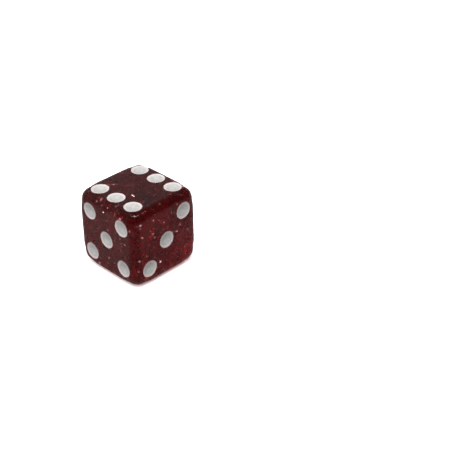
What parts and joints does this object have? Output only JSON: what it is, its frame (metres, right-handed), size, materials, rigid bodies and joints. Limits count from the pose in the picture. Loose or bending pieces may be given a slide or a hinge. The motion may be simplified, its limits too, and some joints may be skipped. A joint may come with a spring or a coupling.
{
  "type": "pipped die",
  "caption": "Translucent glitter resin cube with rounded edges and corners, and white painted pips sunk in its faces, for board, dice and card-table games.",
  "frame": {"origin": "centre of the face that it rests on, the one", "axes": "+Z out of the six, -Y out of the five, +X out of the three"},
  "size_m": [0.016, 0.016, 0.016],
  "materials": {
    "tinted_resin": "polished, translucent dark ruby",
    "pip_paint": "gloss white enamel",
    "glitter_foil": "bright metallised foil flakes"
  },
  "bodies": {
    "root": {"cube": "tinted_resin", "pip_1_1": "pip_paint", "pip_2_1": "pip_paint", "pip_2_2": "pip_paint", "pip_3_1": "pip_paint", "pip_3_2": "pip_paint", "pip_3_3": "pip_paint", "pip_4_1": "pip_paint", "pip_4_2": "pip_paint", "pip_4_3": "pip_paint", "pip_4_4": "pip_paint", "pip_5_1": "pip_paint", "pip_5_2": "pip_paint", "pip_5_3": "pip_paint", "pip_5_4": "pip_paint", "pip_5_5": "pip_paint", "pip_6_1": "pip_paint", "pip_6_2": "pip_paint", "pip_6_3": "pip_paint", "pip_6_4": "pip_paint", "pip_6_5": "pip_paint", "pip_6_6": "pip_paint"}
  },
  "joints": []
}
